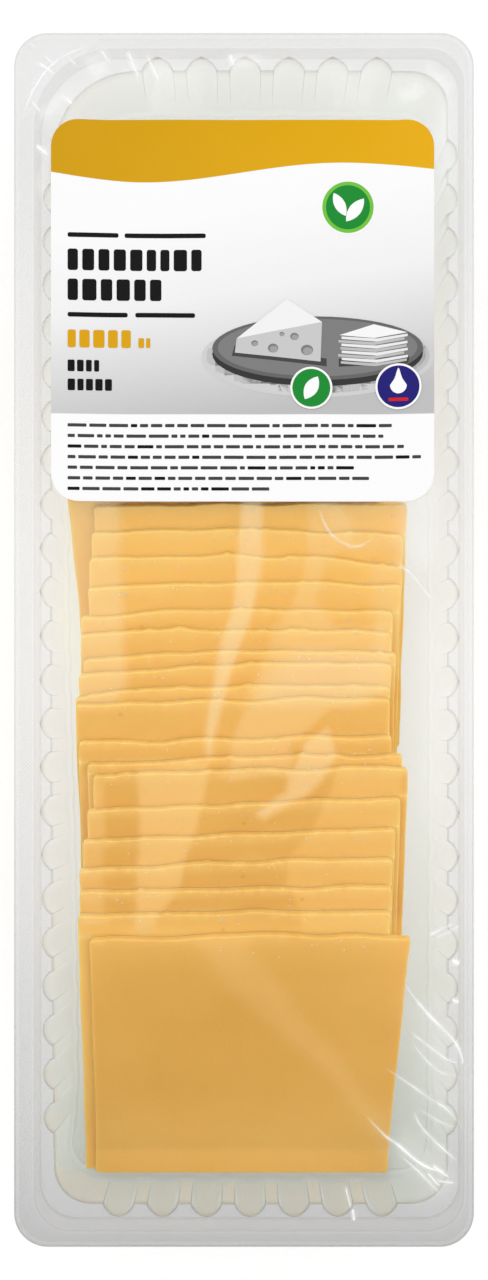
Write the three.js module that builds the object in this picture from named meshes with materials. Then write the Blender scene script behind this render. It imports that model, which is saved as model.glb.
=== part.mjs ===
// Sealed pack of sliced cheese: a clear fluted tray, a shingled row of slices, a clear top film
// and a paper label. Millimetres, +Z up. The tray stands on its floor, +Y runs along the pack
// towards its peel corner end, and the origin is under the middle of the flange.
import * as THREE from 'three';
import { mergeVertices } from 'three/addons/utils/BufferGeometryUtils.js';

// Tray
const packWidth = 150;
const packLength = 396;
const flangeRadius = 11;
const trayHeight = 43;
const sheetThickness = 0.6;
const ledgeHeight = 39;
const cornerRadius = 11.5;
const peelCornerRadius = 26;
// Inside edges of the tray at four levels, from the flange down to the floor. The well sits off
// centre in the flange, as the web was cut.
const sealEdge = { left: -68.3, right: 71.6, far: 192.7, near: -192.7 };
const ledgeEdge = { left: -66.6, right: 70.4, far: 191, near: -189.4 };
const wallTop = { left: -61.8, right: 66.4, far: 186.4, near: -184.4 };
const wallFoot = { left: -61, right: 65, far: 184.9, near: -183.6 };
const floorFillet = 1.5;
const cornerSegments = 7;

// Flutes in the walls: an arc in plan, full depth at the ledge and nearly gone at the floor
const flutePitch = 14.4;
const fluteWidth = 9.6;
const fluteHalfArc = THREE.MathUtils.degToRad(68);
const fluteSegments = 5;
const sideFluteDepth = 3.2;
const endFluteDepth = 4.2;
const footFluteShare = 0.12;
// How far each fluted wall bows outwards between its corners
const wallBow = { left: 1.3, right: 0.4, ends: 0.25 };
const leftFlutes = { count: 22, first: -156.8 };
const rightFlutes = { count: 23, first: -157.4 };
const nearFlutes = { count: 7, first: -41.2 };
const farFlutes = { count: 6, first: -28.4 };

// Slices
const sliceCount = 35;
const hiddenSlices = 16;
const sliceWidth = 103;
const sliceLength = 86.5;
const sliceThickness = 2.66;
const sliceGap = 0.3;
const sliceCorner = 2.2;
const slope = THREE.MathUtils.degToRad(22);
const bendCentre = 88.4;
const toeBend = 5;
// The slice under the front one ends on the floor at the end wall, and the front one rests on it.
const toeEnds = { [sliceCount - 1]: -181.2, [sliceCount]: -182 };
// Upper edge of each slice that shows, at its left, middle and right, and its left side
const shownSlices = [
  { left: 44.5, middle: 45.2, right: 45.2, side: -49.3 },
  { left: 35.5, middle: 36.7, right: 35, side: -50.4 },
  { left: 26.8, middle: 28.1, right: 24.5, side: -50.9 },
  { left: 17.3, middle: 19.3, right: 18.3, side: -51.3 },
  { left: 8.1, middle: 10.4, right: 9.1, side: -53.9 },
  { left: 1.2, middle: 3.8, right: 3, side: -54.2 },
  { left: -6.4, middle: -3.4, right: -4.4, side: -52.9 },
  { left: -11.9, middle: -8, right: -8, side: -54.5 },
  { left: -18.2, middle: -15.2, right: -15.2, side: -55.2 },
  { left: -21.1, middle: -19.5, right: -18.8, side: -55.2 },
  { left: -33.5, middle: -32.5, right: -31, side: -54.5 },
  { left: -40.5, middle: -38.5, right: -37.6, side: -51.3 },
  { left: -44.1, middle: -42.7, right: -41.7, side: -49.4 },
  { left: -56, middle: -53.7, right: -51.5, side: -51.6 },
  { left: -66.1, middle: -64, right: -61.4, side: -53.2 },
  { left: -76, middle: -73, right: -71.7, side: -54.2 },
  { left: -82.9, middle: -81.8, right: -80.9, side: -54.3 },
  { left: -90.6, middle: -89.5, right: -89.1, side: -54.8 },
  { left: -98.3, middle: -97.3, right: -97, side: -50.9 },
];
const frontWidth = 105.7;
const frontTaper = 5.5;
const hiddenSide = { first: -53, step: -0.36 };

// Top film and label
const filmThickness = 0.3;
const filmGap = 0.3;
const filmSag = 2.4;
const sagReach = 34;
const frontDip = { x: 22, y: -146, depth: 9, across: 34, along: 26 };
const label = { left: -62.9, right: 62, near: 45.3, far: 169.9, corner: 9, thickness: 0.25 };
const labelGap = 0.4;

const plastic = new THREE.MeshStandardMaterial({
  color: 0xe9ebe6, roughness: 0.12, metalness: 0, transparent: true, opacity: 0.35,
});
const filmClear = new THREE.MeshStandardMaterial({
  color: 0xffffff, roughness: 0.08, metalness: 0, transparent: true, opacity: 0.2,
});
const cheese = new THREE.MeshStandardMaterial({ color: 0xeebb68, roughness: 0.55, metalness: 0 });
const paper = new THREE.MeshStandardMaterial({ color: 0xf8f8f6, roughness: 0.5, metalness: 0 });

// A closed sheet over a grid: place gives each grid point of its under and upper face.
function gridSheet(columns, rows, place) {
  const across = columns.length - 1;
  const along = rows.length - 1;
  const box = new THREE.BoxGeometry(1, 1, 1, across, along, 1);
  box.deleteAttribute('normal');
  box.deleteAttribute('uv');
  const geometry = mergeVertices(box);
  const position = geometry.attributes.position;
  const point = new THREE.Vector3();
  for (let i = 0; i < position.count; i += 1) {
    point.fromBufferAttribute(position, i);
    const column = columns[Math.round((point.x + 0.5) * across)];
    const row = rows[Math.round((point.y + 0.5) * along)];
    position.setXYZ(i, ...place(column, row, point.z > 0));
  }
  geometry.computeVertexNormals();
  return geometry;
}

// Grid lines over a span, with one line at the round corner's end and one inside it
function gridLines(low, high, corner, count) {
  const lines = [low, low + 0.3 * corner];
  for (let i = 0; i <= count; i += 1) {
    lines.push(THREE.MathUtils.lerp(low + corner, high - corner, i / count));
  }
  lines.push(high - 0.3 * corner, high);
  return lines;
}

// Moves a point of a square corner onto the round one.
function roundCorner(x, y, area, radius) {
  const middleX = (area.left + area.right) / 2;
  const middleY = (area.near + area.far) / 2;
  const innerX = (area.right - area.left) / 2 - radius;
  const innerY = (area.far - area.near) / 2 - radius;
  const offX = Math.abs(x - middleX) - innerX;
  const offY = Math.abs(y - middleY) - innerY;
  if (offX <= 0 || offY <= 0) {
    return [x, y];
  }
  const pull = Math.max(offX, offY) / Math.hypot(offX, offY);
  return [
    middleX + Math.sign(x - middleX) * (innerX + offX * pull),
    middleY + Math.sign(y - middleY) * (innerY + offY * pull),
  ];
}

// Tray outline at one level: four corner arcs, counter-clockwise from the near right one,
// with the flutes of each side between them where fluteShare isn't zero.
function trayRing(edge, radii, fluteShare, grow) {
  const ring = [];
  const box = {
    left: edge.left - grow, right: edge.right + grow, far: edge.far + grow, near: edge.near - grow,
  };
  const corners = [
    { x: box.right, y: box.near, from: -90, radius: radii.near },
    { x: box.right, y: box.far, from: 0, radius: radii.near },
    { x: box.left, y: box.far, from: 90, radius: radii.peel },
    { x: box.left, y: box.near, from: 180, radius: radii.near },
  ];
  const alongBow = (run) => Math.cos((Math.PI * run) / (box.far - box.near));
  const acrossBow = (run) => wallBow.ends * Math.cos((Math.PI * run) / (box.right - box.left));
  const sides = [
    {
      flutes: rightFlutes,
      depth: sideFluteDepth,
      at: (run, out) => [box.right + out + wallBow.right * alongBow(run), run],
    },
    {
      flutes: farFlutes,
      depth: endFluteDepth,
      at: (run, out) => [run, box.far + out + acrossBow(run)],
    },
    {
      flutes: leftFlutes,
      depth: sideFluteDepth,
      at: (run, out) => [box.left - out - wallBow.left * alongBow(run), run],
    },
    {
      flutes: nearFlutes,
      depth: endFluteDepth,
      at: (run, out) => [run, box.near - out - acrossBow(run)],
    },
  ];
  corners.forEach((corner, i) => {
    const centreX = corner.x - Math.sign(corner.x) * corner.radius;
    const centreY = corner.y - Math.sign(corner.y) * corner.radius;
    for (let step = 0; step <= cornerSegments; step += 1) {
      const angle = THREE.MathUtils.degToRad(corner.from + (90 * step) / cornerSegments);
      ring.push(new THREE.Vector2(
        centreX + corner.radius * Math.cos(angle),
        centreY + corner.radius * Math.sin(angle),
      ));
    }
    if (fluteShare > 0) {
      const forward = i === 0 || i === 3;
      ring.push(...flutePoints(sides[i], fluteShare, grow, forward));
    }
  });
  return ring;
}

// Corners of a side's flutes. On a grown outline each corner moves along the bisector of its two
// sides, so that the wall keeps its thickness round the arc.
function flutePoints({ flutes, depth, at }, share, grow, forward) {
  const corners = [];
  for (let i = 0; i <= fluteSegments; i += 1) {
    const turn = fluteHalfArc * ((2 * i) / fluteSegments - 1);
    const rise = (Math.cos(turn) - Math.cos(fluteHalfArc)) / (1 - Math.cos(fluteHalfArc));
    const run = ((fluteWidth / 2) * Math.sin(turn)) / Math.sin(fluteHalfArc);
    corners.push(new THREE.Vector2(run, depth * share * rise));
  }
  const outwards = new THREE.Vector2(0, 1);
  const normals = corners.slice(1).map((corner, i) => {
    const side = corner.clone().sub(corners[i]);
    return new THREE.Vector2(-side.y, side.x).normalize();
  });
  const profile = corners.map((corner, i) => {
    const before = normals[i - 1] ?? outwards;
    const after = normals[i] ?? outwards;
    const shift = before.clone().add(after).multiplyScalar(grow / (1 + before.dot(after)));
    return [corner.x + shift.x, corner.y + shift.y - grow];
  });
  const points = [];
  const direction = forward ? 1 : -1;
  for (let i = 0; i < flutes.count; i += 1) {
    const order = forward ? i : flutes.count - 1 - i;
    const centre = flutes.first + order * flutePitch;
    for (const [run, out] of profile) {
      points.push(new THREE.Vector2(...at(centre + direction * run, out)));
    }
  }
  return points;
}

// The tray is one thin shell: its upper face runs from the flange's rim down to the floor, its
// under face lies one sheet thickness outside it, and the rim joins the two.
function trayGeometry() {
  const positions = [];
  const triangles = [];
  const addRing = (ring, height) => {
    const start = positions.length / 3;
    ring.forEach((point) => positions.push(point.x, point.y, height));
    return { start, ring };
  };
  const addTriangle = (a, b, c, up) => triangles.push(...(up ? [a, b, c] : [a, c, b]));
  const band = (outer, inner, up) => {
    const count = outer.ring.length;
    for (let i = 0; i < count; i += 1) {
      const next = (i + 1) % count;
      addTriangle(outer.start + i, outer.start + next, inner.start + next, up);
      addTriangle(outer.start + i, inner.start + next, inner.start + i, up);
    }
  };
  // Flat face between an outline and a hole in it, or over the whole outline
  const flat = (outer, inner, up) => {
    const holes = inner ? [inner.ring.slice().reverse()] : [];
    const points = [...outer.ring, ...holes.flat()];
    const faces = THREE.ShapeUtils.triangulateShape(outer.ring.slice(), holes);
    const count = outer.ring.length;
    const vertex = (i) => {
      if (i < count) {
        return outer.start + i;
      }
      return inner.start + inner.ring.length - 1 - (i - count);
    };
    const clockwise = THREE.ShapeUtils.area(faces[0].map((i) => points[i])) < 0;
    faces.forEach(([a, b, c]) => addTriangle(vertex(a), vertex(b), vertex(c), up !== clockwise));
  };
  const flangeEdge = {
    left: -packWidth / 2, right: packWidth / 2, far: packLength / 2, near: -packLength / 2,
  };
  const flangeRadii = { near: flangeRadius, peel: flangeRadius };
  const surface = (drop, grow, up) => {
    const radii = { near: cornerRadius + grow, peel: peelCornerRadius + grow };
    const rim = addRing(trayRing(flangeEdge, flangeRadii, 0, 0), trayHeight - drop);
    const seal = addRing(trayRing(sealEdge, radii, 0, grow), trayHeight - drop);
    const ledge = addRing(trayRing(ledgeEdge, radii, 0, grow), ledgeHeight - drop);
    const mouth = addRing(trayRing(wallTop, radii, 1, grow), ledgeHeight - drop);
    const foot = trayRing(wallFoot, radii, footFluteShare, grow);
    const footRing = addRing(foot, sheetThickness + floorFillet - drop);
    const floorRing = addRing(
      trayRing(wallFoot, radii, footFluteShare, grow - floorFillet),
      sheetThickness - drop,
    );
    band(rim, seal, up);
    band(seal, ledge, up);
    flat(ledge, mouth, up);
    band(mouth, footRing, up);
    band(footRing, floorRing, up);
    flat(floorRing, null, up);
    return rim;
  };
  const upperRim = surface(0, 0, true);
  const underRim = surface(sheetThickness, sheetThickness, false);
  band(underRim, upperRim, true);
  const geometry = new THREE.BufferGeometry();
  geometry.setAttribute('position', new THREE.Float32BufferAttribute(positions, 3));
  geometry.setIndex(triangles);
  geometry.computeVertexNormals();
  return geometry;
}

// Middle plane of a slice, as a point and a tilt at a distance up from its lower end. The slices
// lie in parallel: far ones flat and bent down about one line, later ones straight, and the last
// two with a toe flat on what is under them. Distances are from the floor and the bend's line.
function slicePath(order) {
  const radius = (order - 0.5) * sliceThickness + (order - 1) * sliceGap;
  const hasToe = order in toeEnds;
  const pile = order === sliceCount ? sliceThickness + sliceGap : 0;
  const restHeight = hasToe ? sliceThickness / 2 + pile : (sliceThickness / 2) * Math.cos(slope);
  const floorY = bendCentre - (radius / Math.sin(slope) - restHeight / Math.tan(slope));
  const straight = (radius * Math.cos(slope) - restHeight) / Math.sin(slope);
  const toeRadius = toeBend - pile;
  const trim = hasToe ? toeRadius * Math.tan(slope / 2) : 0;
  const toeFlat = hasToe ? floorY - trim - toeEnds[order] : 0;
  const toeArc = hasToe ? toeRadius * slope : 0;
  const start = toeFlat + toeArc - trim;
  const at = (along) => {
    if (hasToe && along < toeFlat) {
      return { y: toeEnds[order] + along, z: restHeight, tilt: 0 };
    }
    if (hasToe && along < toeFlat + toeArc) {
      const tilt = (along - toeFlat) / toeRadius;
      return {
        y: toeEnds[order] + toeFlat + toeRadius * Math.sin(tilt),
        z: restHeight + toeRadius * (1 - Math.cos(tilt)),
        tilt,
      };
    }
    const up = along - start;
    if (up <= straight) {
      return { y: floorY + up * Math.cos(slope), z: restHeight + up * Math.sin(slope), tilt: slope };
    }
    const tilt = slope - (up - straight) / radius;
    if (tilt > 0) {
      return {
        y: bendCentre - radius * Math.sin(tilt), z: radius * Math.cos(tilt), tilt,
      };
    }
    return { y: bendCentre + (up - straight - radius * slope), z: radius, tilt: 0 };
  };
  // Distance up the straight stretch to a place along the pack
  const reach = (y) => start + (y - floorY) / Math.cos(slope);
  return { at, reach, radius, straight, toeFlat, toeArc };
}

// Rows of a slice's grid: its rounded ends, and the steps of each bend
function sliceRows(path, low, high) {
  const rows = new Set([0, sliceCorner, high - low - sliceCorner, high - low]);
  const bendSteps = 3;
  if (path.toeArc > 0) {
    for (let i = 0; i <= bendSteps; i += 1) {
      rows.add(path.toeFlat + (path.toeArc * i) / bendSteps);
    }
  }
  for (let i = 0; i <= bendSteps; i += 1) {
    const along = path.straight + (path.radius * slope * i) / bendSteps - low;
    if (along > 1.2 * sliceCorner && along < high - low - 1.2 * sliceCorner) {
      rows.add(along);
    }
  }
  return [...rows].sort((a, b) => a - b).map((row) => row / (high - low));
}

function sliceGeometry(order) {
  const path = slicePath(order);
  const shown = shownSlices[order - hiddenSlices - 1];
  const isFront = order === sliceCount;
  const hasToe = order in toeEnds;
  const width = isFront ? frontWidth : sliceWidth;
  const side = shown ? shown.side : hiddenSide.first + hiddenSide.step * (order - 1);
  const low = shown && !hasToe ? path.reach(shown.middle) - sliceLength : 0;
  const high = shown ? path.reach(shown.middle) : sliceLength;
  const area = { left: 0, right: width, near: 0, far: high - low };
  const columns = gridLines(0, width, sliceCorner, shown ? 4 : 1);
  return gridSheet(columns, sliceRows(path, low, high), (column, share, upper) => {
    const [x, run] = roundCorner(column, share * (high - low), area, sliceCorner);
    // The upper edge is a shallow curve through its three measured places.
    const across = (2 * x) / width - 1;
    const along = run / (high - low);
    let edge = 0;
    if (shown) {
      const bow = (shown.left + shown.right) / 2 - shown.middle;
      const lean = (shown.right - shown.left) / 2;
      edge = (bow * across * across + lean * across) * along * along;
    }
    const { y, z, tilt } = path.at(low + run + edge);
    const off = upper ? sliceThickness / 2 : -sliceThickness / 2;
    const taper = isFront ? (1 - along) * frontTaper * (x / width) : 0;
    return [side + x - taper, y - off * Math.sin(tilt), z + off * Math.cos(tilt)];
  });
}

// Height of the film's under face: flat on the flange, a little slack over the well, and drawn
// down over the front slice.
function filmHeight(x, y) {
  const inside = Math.min(
    x - sealEdge.left, sealEdge.right - x, y - sealEdge.near, sealEdge.far - y,
  );
  const slack = THREE.MathUtils.smoothstep(inside, 0, sagReach);
  const awayX = (x - frontDip.x) / frontDip.across;
  const awayY = (y - frontDip.y) / frontDip.along;
  const dip = frontDip.depth * Math.exp(-(awayX * awayX + awayY * awayY)) * slack;
  return trayHeight + filmGap - filmSag * slack - dip;
}

function filmGeometry() {
  const area = {
    left: -packWidth / 2, right: packWidth / 2, near: -packLength / 2, far: packLength / 2,
  };
  const columns = gridLines(area.left, area.right, flangeRadius, 12);
  const rows = gridLines(area.near, area.far, flangeRadius, 20);
  return gridSheet(columns, rows, (column, row, upper) => {
    const [x, y] = roundCorner(column, row, area, flangeRadius);
    return [x, y, filmHeight(x, y) + (upper ? filmThickness : 0)];
  });
}

function labelGeometry() {
  const columns = gridLines(label.left, label.right, label.corner, 6);
  const rows = gridLines(label.near, label.far, label.corner, 6);
  return gridSheet(columns, rows, (column, row, upper) => {
    const [x, y] = roundCorner(column, row, label, label.corner);
    const under = filmHeight(x, y) + filmThickness + labelGap;
    return [x, y, under + (upper ? label.thickness : 0)];
  });
}

function addPiece(group, name, geometry, material, height = 0) {
  const mesh = new THREE.Mesh(geometry, material);
  mesh.name = name;
  mesh.position.z = height;
  group.add(mesh);
}

const pack = new THREE.Group();
addPiece(pack, 'tray', trayGeometry(), plastic);
const slices = new THREE.Group();
slices.position.z = sheetThickness + sliceGap;
for (let order = 1; order <= sliceCount; order += 1) {
  const name = `cheese_slice_${String(order).padStart(2, '0')}`;
  addPiece(slices, name, sliceGeometry(order), cheese);
}
pack.add(slices);
addPiece(pack, 'top_film', filmGeometry(), filmClear);
addPiece(pack, 'label', labelGeometry(), paper);

export default pack;
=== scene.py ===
import random
from math import atan2, copysign, cos, dist, exp, hypot, pi, radians, sin, tan
import bmesh
import bpy
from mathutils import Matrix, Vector, noise


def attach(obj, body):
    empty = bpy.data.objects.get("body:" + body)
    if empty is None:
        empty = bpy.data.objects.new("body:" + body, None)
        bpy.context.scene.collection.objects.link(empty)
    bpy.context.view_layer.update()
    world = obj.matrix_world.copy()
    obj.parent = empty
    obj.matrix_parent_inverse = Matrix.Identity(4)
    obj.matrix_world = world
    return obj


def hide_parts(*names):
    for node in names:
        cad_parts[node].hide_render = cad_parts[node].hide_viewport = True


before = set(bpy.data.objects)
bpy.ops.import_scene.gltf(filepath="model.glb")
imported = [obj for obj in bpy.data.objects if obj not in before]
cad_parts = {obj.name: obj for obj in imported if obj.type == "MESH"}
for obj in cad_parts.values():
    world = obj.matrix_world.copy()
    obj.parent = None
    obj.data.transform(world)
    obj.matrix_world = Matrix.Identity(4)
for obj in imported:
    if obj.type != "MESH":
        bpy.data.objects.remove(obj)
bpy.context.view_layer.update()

mm = 0.001
chance = random.Random(11)

# How the photograph was taken: straight down, from above a point nearer the front slice's end
view = {
    "height": 642,        # camera above the film, mm
    "frameLength": 417.5,  # length of pack plane that the image's long side takes in, mm
    "aimedAt": -29.4,     # place along the pack that the lens looks straight down on, mm
    "shift": 0.0703, "sensor": 36,
}

studio = {
    "world": 0.78, "floor": 6.4, "floorBelow": 0.0004,
    "floorGrey": 0.42, "floorGlow": 0.6, "floorRoughness": 0.9,
    "softbox": ((-0.25, 0.75, 1.1), 0.9, 5),  # place, size, watts
    "fill": ((0.8, -0.5, 0.9), 0.8, 2),
}

# Sizes of the tray in mm, as the CAD solids have them; outlines are left, right, near and far
tray = {
    "height": 43, "ledge": 39, "sheet": 0.6,
    "flange": (-75, 75, -198, 198), "flangeRadius": 11,
    "seal": (-68.3, 71.6, -192.7, 192.7),
    "ledgeEdge": (-66.6, 70.4, -189.4, 191),
    "wallTop": (-61.8, 66.4, -184.4, 186.4),
    "wallFoot": (-61, 65, -183.6, 184.9),
    "corner": 11.5, "peelCorner": 26, "fillet": 1.5,
    "leftBow": 1.3, "rightBow": 0.4, "endBow": 0.25,
    "flutePitch": 14.4, "fluteWidth": 9.6, "halfArc": radians(68), "arcPoints": 10,
    "beside": (0.2, 0.9),  # where the flat strip beside a flute has its lines
    "sideDepth": 3.2, "endDepth": 4.2, "footShare": 0.12,
    "leftFlutes": (22, -156.8), "rightFlutes": (23, -157.4),
    "nearFlutes": (7, -41.2), "farFlutes": (6, -28.4), "pointsPerCorner": 14,
    # How far the left wall's foot is pushed in, and where along the pack that starts and ends
    "dent": 2.4, "dentFar": (30, -100), "dentNear": (-182, -150),
    # Outline, height it hangs from, flute share, and rows of growth, rise, bend line and seal
    "profile": [
        ("flange", "height", 0, [(0, -0.15, 0.3, 0), (-0.15, 0, 0.15, 0), (-0.5, 0, 0, 0),
                                 (-1.6, 0, 0, 0), (-1.8, 0, 0.05, 1)]),
        ("seal", "height", 0, [(0.9, 0, 0, 1), (0.7, 0, 0, 0), (0.35, 0, 0, 0), (0.1, -0.08, 0.22, 0),
                               (-0.15, -0.35, 0.1, 0), (-0.35, -0.8, 0, 0)]),
        ("ledgeEdge", "ledge", 0, [(0.35, 0.8, 0, 0), (0.12, 0.3, 0.1, 0), (-0.12, 0.06, 0.25, 0),
                                   (-0.3, 0, 0, 0)]),
        ("wallTop", "ledge", 1, [(0.35, 0, 0, 0), (0.14, -0.05, 0.5, 0), (0, -0.3, 1, 0),
                                 (-0.03, -0.8, 0.1, 0)]),
    ],
    "wallSteps": (0.15, 0.3, 0.5, 0.7, 0.85), "filletLines": (0.06, 0.02, 0, 0, 0, 0.14),
    "floorSteps": ((0.8, 0.6), (0.3, 2.5), (0, 6)),  # flute share and distance in from the fillet
    "smoothAngle": radians(50),
}

slices = {
    "count": 35, "hidden": 16, "width": 103, "length": 86.5, "thickness": 2.66, "gap": 0.3,
    "corner": 1.4, "slope": radians(22), "bendCentre": 88.4, "toeBend": 5,
    "toeEnds": {34: -181.2, 35: -182}, "floor": 0.9,
    "frontWidth": 105.7, "frontTaper": 5.5, "hiddenSide": (-53, -0.36), "hiddenTurn": 5.5,
    "swell": 0.26, "rounding": 0.7, "underRounding": 0.15, "fineRows": 22, "fineStep": 1.1,
    # Unevenness as scale, layer of the noise and size in mm
    "rag": ((0.06, 0, 1.2), (0.3, 3, 0.14), (1.2, 6, 0.08)), "nibbles": (0.22, 9, 2.2, 0.34),
    "sway": ((0.05, 0, 0.5), (0.6, 3, 0.1)), "lift": (0.05, 0.12), "batch": 0.12,
    # Painted light in the corner under the next slice's edge: strength, place and reach, then the wider
    # part
    "crevice": (0.9, 0.9, 0.7, 0.15, 2.5),
    # Pale cut rims, partly the cheese's own paler cut and partly painted light on the lit upper edge: reach
    # in mm and strength, and their patches as middle, scale and strength
    "rim": (4.2, 1.4), "sideRim": (1.4, 0.45), "patches": (0.62, 0.35, 0.4), "frontRim": 0.6,
    # Lines near the rims, then steps between the others: hidden slices, and those that show
    "dense": ((0, 0.7, 1.6, 3), (0, 0.35, 0.7, 1.1, 1.6, 2.2, 3)), "columnStep": (4, 1),
    "rowStep": 4, "frontRowStep": 1.5, "edgeRows": (3.4, 0.4, range(-2, 7)), "seedStep": 7.3,
}

# Upper edge at left, middle and right, and left side, of each slice that shows
shownSlices = [
    (44.5, 45.2, 45.2, -49.3), (35.5, 36.7, 35, -50.4), (26.8, 28.1, 24.5, -50.9),
    (17.3, 19.3, 18.3, -51.3), (8.1, 10.4, 9.1, -53.9), (1.2, 3.8, 3, -54.2),
    (-6.4, -3.4, -4.4, -52.9), (-11.9, -8, -8, -54.5), (-18.2, -15.2, -15.2, -55.2),
    (-21.1, -19.5, -18.8, -55.2), (-33.5, -32.5, -31, -54.5), (-40.5, -38.5, -37.6, -51.3),
    (-44.1, -42.7, -41.7, -49.4), (-56, -53.7, -51.5, -51.6), (-66.1, -64, -61.4, -53.2),
    (-76, -73, -71.7, -54.2), (-82.9, -81.8, -80.9, -54.3), (-90.6, -89.5, -89.1, -54.8),
    (-98.3, -97.3, -97, -50.9),
]

film = {
    "thickness": 0.15, "gap": 0.35, "sag": 2.4, "reach": 34, "step": 1.3,
    "dip": (9, 22, -146, 34, 26),  # depth, x, y, half width across and along
    "ripple": (0.5, 0.045, 0.02, 0.03),  # size, and how close across, on the slant and along
    "smoothAngle": radians(60),
    # Where the mirrored shapes lie, how their edges waver, and where the glints begin
    "glowBox": (-65, 58, -175, 52), "waver": ((0.07, 0.05, 2), (0.06, 0.06, 8), 2), "glintsFrom": 140,
    "sheenEnds": (0.15, 0.3),  # strength at the very end, and the share over which it fades
    # Folds: lift off the film, widening, strength of their painted highlight, least width at the ends, core
    # of the ridge
    "foldLift": 0.03, "foldWiden": 1.7, "foldHighlight": 1.7, "foldEnds": 0.25, "foldCore": (0.28, 0.3),
    "foldLines": (-1, -0.6, -0.3, -0.12, 0, 0.12, 0.3, 0.6, 1), "foldStep": 0.6,
}

label = {"box": (-62.9, 62, 45.3, 169.9), "corner": 9, "lift": 0.25, "thickness": 0.15,
         "step": 1.5, "dense": (0, 0.3, 0.8, 1.5, 2.4, 3.5, 4.8, 6.2, 7.6, 9)}


def smooth(low, high, value):
    t = min(max((value - low) / (high - low), 0), 1)
    return t * t * (3 - 2 * t)


def mix(a, b, t):
    return a + (b - a) * t


def bell(x, y, middleX, middleY, across, along):
    return exp(-((x - middleX) / across) ** 2 - ((y - middleY) / along) ** 2)


def stepped(low, high, step):
    count = max(1, round((high - low) / step))
    return [mix(low, high, i / count) for i in range(count + 1)]


def deselectAll():
    if bpy.context.object and bpy.context.object.mode == "EDIT":
        bpy.ops.object.mode_set(mode="OBJECT")
    bpy.ops.object.select_all(action="DESELECT")


def applyModifiers(piece):
    deselectAll()
    piece.select_set(True)
    bpy.context.view_layer.objects.active = piece
    for modifier in list(piece.modifiers):
        bpy.ops.object.modifier_apply(modifier=modifier.name)


def thicken(piece, thickness, offset, even=False):
    sheet = piece.modifiers.new("sheet", "SOLIDIFY")
    sheet.thickness = thickness * mm
    sheet.offset = offset
    sheet.use_even_offset = even
    applyModifiers(piece)


# An empty mesh in edit mode, to build shapes into
def emptyPiece(name):
    deselectAll()
    bpy.ops.mesh.primitive_circle_add(vertices=3, radius=mm)
    piece = bpy.context.object
    piece.name = name
    bpy.ops.object.mode_set(mode="EDIT")
    bpy.ops.mesh.delete(type="VERT")
    return piece


def markAll(piece, mark, value):
    layer = piece.data.attributes.new(mark, "FLOAT", "POINT")
    layer.data.foreach_set("value", [value] * len(piece.data.vertices))


def finishPiece(piece, material, slot, *nodes):
    piece.data.materials.append(material)
    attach(piece, "root")
    if nodes:
        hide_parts(*nodes)


# Materials

def newMaterial(name):
    material = bpy.data.materials.new(name)
    material.use_nodes = True
    nodes = material.node_tree.nodes
    return material, nodes, nodes["Principled BSDF"]


# Links a socket to another one, or sets its value
def feed(socket, value):
    if isinstance(value, bpy.types.NodeSocket):
        socket.id_data.links.new(value, socket)
    else:
        socket.default_value = (*value, 1) if isinstance(value, tuple) else value


def feedAll(node, values):
    for name, value in values.items():
        feed(node.inputs[name], value)


def mathNode(operation, a, b, clamp=False):
    node = a.id_data.nodes.new("ShaderNodeMath")
    node.operation = operation
    node.use_clamp = clamp
    feed(node.inputs[0], a)
    feed(node.inputs[1], b)
    return node.outputs[0]


def times(a, b, clamp=False):
    return mathNode("MULTIPLY", a, b, clamp)


def plus(a, b, clamp=False):
    return mathNode("ADD", a, b, clamp)


def mixColour(factor, a, b, blend="MIX"):
    node = factor.id_data.nodes.new("ShaderNodeMix")
    node.data_type = "RGBA"
    node.blend_type = blend
    for number, value in ((0, factor), (6, a), (7, b)):
        feed(node.inputs[number], value)
    return node.outputs[2]


# A ramp of greys, from stops of position, grey and alpha
def greyRamp(share, stops):
    node = share.id_data.nodes.new("ShaderNodeValToRGB")
    elements = node.color_ramp.elements
    while len(elements) < len(stops):
        elements.new(0.5)
    for element, (position, tone, alpha) in zip(elements, stops):
        element.position = position
        element.color = (tone, tone, tone, alpha)
    feed(node.inputs[0], share)
    return node.outputs


def marked(nodes, mark, output="Fac"):
    node = nodes.new("ShaderNodeAttribute")
    node.attribute_name = mark
    return node.outputs[output]


def objectPlace(nodes, turn=0, scale=(1, 1, 1)):
    node = nodes.new("ShaderNodeMapping")
    node.inputs["Rotation"].default_value = (0, 0, turn)
    node.inputs["Scale"].default_value = scale
    feed(node.inputs["Vector"], nodes.new("ShaderNodeTexCoord").outputs["Object"])
    return node.outputs[0]


def acrossAndAlong(place):
    node = place.id_data.nodes.new("ShaderNodeSeparateXYZ")
    feed(node.inputs[0], place)
    return node.outputs["X"], node.outputs["Y"]


def clouds(place, scale, detail=2):
    node = place.id_data.nodes.new("ShaderNodeTexNoise")
    feedAll(node, {"Vector": place, "Scale": scale, "Detail": detail})
    return node.outputs["Fac"]


def grazing(nodes, power):
    return mathNode("POWER", nodes.new("ShaderNodeLayerWeight").outputs["Facing"], power)


def addBump(shader, height, distance, strength=1):
    node = shader.id_data.nodes.new("ShaderNodeBump")
    feedAll(node, {"Height": height, "Distance": distance, "Strength": strength})
    feed(shader.inputs["Normal"], node.outputs[0])


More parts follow.
